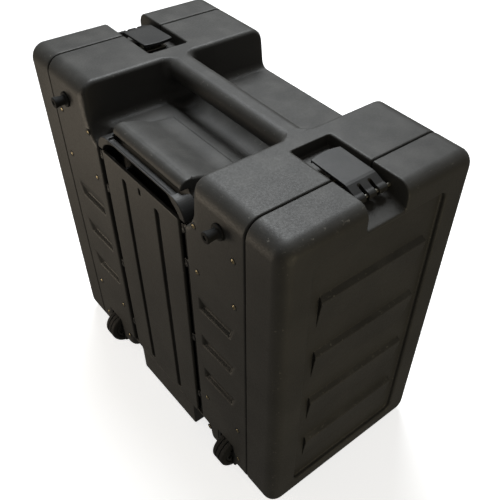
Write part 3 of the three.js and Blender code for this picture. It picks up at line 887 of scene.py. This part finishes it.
reach = LATCH_REACH + 1
latch_mesh = moulded("latch_moulding", latch, (-29, -8, -9), (29, reach, 19), 0.9, 0.4)
pin_mesh = moulded("latch_pin_turned", latch_pin, (-42, -4, -4), (42, 4, 4), 0.8, 0.5)
for end in ENDS:
    for level in ("upper", "lower"):
        pin = middle(f"{end}_{level}_latch_pin")
        turn = Matrix.Identity(4)
        if level == "lower":
            turn = half_turn("Y")
        if end == "rear":
            turn = half_turn("Z") @ turn
        place(f"{end}_{level}_latch_moulding", latch_mesh, moulded_parts,
              f"{end}_{level}_latch_body", [f"{end}_{level}_latch"], pin, turn)
        place(f"{end}_{level}_latch_pin_turned", pin_mesh, zinc_steel, f"{end}_lid_body",
              [f"{end}_{level}_latch_pin"], pin)

# --- Seals, keepers and rack rails, drawn at the front and turned for the rear ------------------

low, high = span("front_gasket")
seal_mesh = moulded("lid_seal", lid_seal, low, high, 1.1, 0.2)
low, high = span("front_upper_keeper")
keeper_mesh = moulded("keeper_plate", keeper, low, high, 0.8, 0.4)
low, high = span("front_upper_rack_rail")
rail_mesh = moulded("rack_rail_folded", rack_rail, low, high, 0.8, 0.25)
for end in ENDS:
    turn = half_turn("Z") if end == "rear" else Matrix.Identity(4)
    place(f"{end}_lid_seal", seal_mesh, seal_rubber, f"{end}_lid_body",
          [f"{end}_gasket"], turn=turn)
    for kind, mesh, surface, slot, mirror_z in (
            ("keeper", keeper_mesh, zinc_steel, "zinc_steel", MIDDLE_Z),
            ("rack_rail", rail_mesh, black_steel, "black_steel", RACK_Z)):
        place(f"{end}_upper_{kind}_plate", mesh, surface, "case",
              [f"{end}_upper_{kind}"], turn=turn)
        place(f"{end}_lower_{kind}_plate", mesh, surface, "case",
              [f"{end}_lower_{kind}"], (0, 0, 2 * mirror_z), turn @ half_turn("Y"))

# --- Tow handle ----------------------------------------------------------------------------

place("tow_grip_bow", moulded("tow_grip_bow", tow_grip, GRIP_LOW, GRIP_HIGH, 1.2, 0.4),
      moulded_parts, "tow_handle", ["tow_grip"])
low, high = span("tow_cover")
place("tow_cover_plate", moulded("tow_cover_plate", tow_cover, low, high, 1.5, 0.25),
      moulded_black, "case", ["tow_cover"])

clip_mesh = moulded("tube_clip_moulding", tube_clip, (-3, -10, -12), (2, 10, 12), 0.5, 0.4)
tubes = {"guide_tube": (1.5, 2.2, black_steel, "black_steel", "case"),
         "tow_tube": (1.2, 1.8, aluminium, "aluminium", "tow_handle")}
for kind, (wall, radius, surface, slot, rides_on) in tubes.items():
    low, high = span(f"front_{kind}")
    half = (high - low) / 2
    length = high[2] - low[2]
    tube = square_tube(half[0], half[1], length, wall, radius)
    tube_mesh = moulded(kind, tube, (-half[0], -half[1], 0), (half[0], half[1], length), 0.7, 0.12)
    for end in ENDS:
        center = middle(f"{end}_{kind}")
        place(f"{end}_{kind}_drawn", tube_mesh, surface, rides_on, [f"{end}_{kind}"],
              (center[0], center[1], low[2]))

for end in ENDS:
    for number in (1, 2, 3, 4):
        node = f"{end}_tube_clip_{number}"
        place(f"{node}_moulding", clip_mesh, moulded_parts, "case", [node],
              middle(node))

# --- Wheels and feet ---------------------------------------------------------------------

low, high = span("rear_tyre")
half = (high - low) / 2
tyre_mesh = moulded("tyre_moulding", tyre, -half, half, 1.0, 0.5)
low, high = span("rear_wheel_hub")
half = (high - low) / 2
hub_mesh = moulded("wheel_hub_moulding", wheel_hub, -half, half, 0.9, 0.5)


low, high = span("rear_wheel_housing")
half = (high[1] - low[1]) / 2
housing_mesh = moulded("wheel_housing_moulding", wheel_housing,
                       (low[0], -half, low[2]), (high[0], half, high[2]), 1.2, 0.35)
foot_mesh = moulded("foot_moulding", foot, (-17, -17, 0), (17, 17, 7.7), 0.9, 0.5)
side_foot_mesh = moulded("side_foot_moulding", side_foot, (-SIDE_FOOT_LENGTH, -13, -13),
                         (0, 13, 13), 0.8, 0.5)
for end in ENDS:
    center = middle(f"{end}_tyre")
    place(f"{end}_tyre_moulding", tyre_mesh, tyre_rubber, f"{end}_wheel",
          [f"{end}_tyre"], center)
    place(f"{end}_wheel_hub_moulding", hub_mesh, moulded_parts, f"{end}_wheel",
          [f"{end}_wheel_hub"], center)
    place(f"{end}_wheel_housing_moulding", housing_mesh, moulded_parts, "case",
          [f"{end}_wheel_housing"], (0, center[1], 0))
    place(f"{end}_foot_moulding", foot_mesh, seal_rubber, "case", [f"{end}_foot"],
          (middle(f"{end}_foot")[0], center[1], 0))
    stud = middle(f"{end}_side_foot")
    place(f"{end}_side_foot_moulding", side_foot_mesh, seal_rubber, "case",
          [f"{end}_side_foot"], (-HALF_WIDTH, stud[1], stud[2]))

# --- Screws of the tow side -------------------------------------------------------------------

SCREW_ROWS = (57, 156, 482, 572)
SCREW_INNER = 152
SCREW_OUTER = 244
screw_mesh = moulded("screw_head", screw_head, (-2, -4, -4), (0.4, 4, 4), 0.25, 0.5, 0.05)
cup_mesh = moulded("screw_cup", screw_cup, (-0.7, -6, -6), (0.7, 6, 6), 0.4, 0.5, 0.1)
for end, side in ENDS.items():
    for row, height in enumerate(SCREW_ROWS, 1):
        for column, y in (("inner", SCREW_INNER), ("outer", SCREW_OUTER)):
            spot = (-HALF_WIDTH, side * y, height)
            place(f"{end}_{column}_screw_{row}", screw_mesh, brass_screw, "case", at=spot)
            place(f"{end}_{column}_cup_{row}", cup_mesh, moulded_parts, "case", at=spot)

# --- CAD nodes that are right as they are --------------------------------------------------------

kept = {"rail_fixing": zinc_steel, "tube_cap": moulded_parts, "axle": zinc_steel}
for name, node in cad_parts.items():
    for ending, surface in kept.items():
        if name.endswith(ending):
            node.data.materials.clear()
            node.data.materials.append(surface)

# --- Camera, light and floor --------------------------------------------------------------

# From the front left, looking down at about 46 degrees. The shift frames the case
camera_data = bpy.data.cameras.new("camera")
camera_data.lens = 46.1
camera_data.shift_x = -0.0755
camera_data.shift_y = 0.0855
camera = bpy.data.objects.new("camera", camera_data)
right = Vector((0.76064, -0.64785, 0.04149)).normalized()
forward = Vector((0.47488, 0.51170, -0.71600)).normalized()
up = right.cross(forward)
turned = Matrix((right, up, -forward)).transposed().to_4x4()
camera.matrix_world = Matrix.Translation((-0.5430, -0.7524, 1.1578)) @ turned
bpy.context.scene.collection.objects.link(camera)
bpy.context.scene.camera = camera


def lamp(name, location, target, size, power, color):
    data = bpy.data.lights.new(name, "AREA")
    data.shape = "DISK"
    data.size = size
    data.energy = power
    data.color = color
    light = bpy.data.objects.new(name, data)
    light.visible_camera = False
    aim = (Vector(target) - Vector(location)).to_track_quat("-Z", "Y")
    light.matrix_world = Matrix.Translation(location) @ aim.to_matrix().to_4x4()
    bpy.context.scene.collection.objects.link(light)


lamp("overhead", (0.7, 0.9, 2.6), (0, 0.1, 0.5), size=1.4, power=58, color=(0.94, 0.975, 1.0))
lamp("side_fill", (-1.1, 0.8, 0.2), (-0.2, 0.1, 0.25), size=0.6, power=5.5, color=(1.0, 0.86, 0.68))
lamp("low_fill", (-0.1, -1.9, 0.15), (0, -0.3, 0.2), size=1.0, power=7.5, color=(1.0, 0.86, 0.56))

world = bpy.data.worlds.new("studio")
world.use_nodes = True
world.node_tree.nodes["Background"].inputs["Color"].default_value = (1, 0.96, 0.88, 1)
world.node_tree.nodes["Background"].inputs["Strength"].default_value = 0.12
bpy.context.scene.world = world
bpy.context.scene.view_settings.view_transform = "Standard"

bpy.ops.mesh.primitive_plane_add(size=30)
floor = bpy.context.object
floor.name = "floor"
floor_material = bpy.data.materials.new("floor")
floor_material.use_nodes = True
floor_shader = floor_material.node_tree.nodes["Principled BSDF"]
floor_shader.inputs["Base Color"].default_value = (0.9, 0.9, 0.9, 1)
floor_shader.inputs["Roughness"].default_value = 0.8
floor_shader.inputs["Emission Color"].default_value = (1, 1, 1, 1)
floor_shader.inputs["Emission Strength"].default_value = 0.75
floor.data.materials.append(floor_material)

bpy.ops.mesh.primitive_uv_sphere_add(radius=14)
backdrop = bpy.context.object
backdrop.name = "backdrop"
backdrop.data.materials.append(floor_material)
for surround in (floor, backdrop):
    surround.visible_diffuse = False
    surround.visible_glossy = False
backdrop.visible_shadow = False
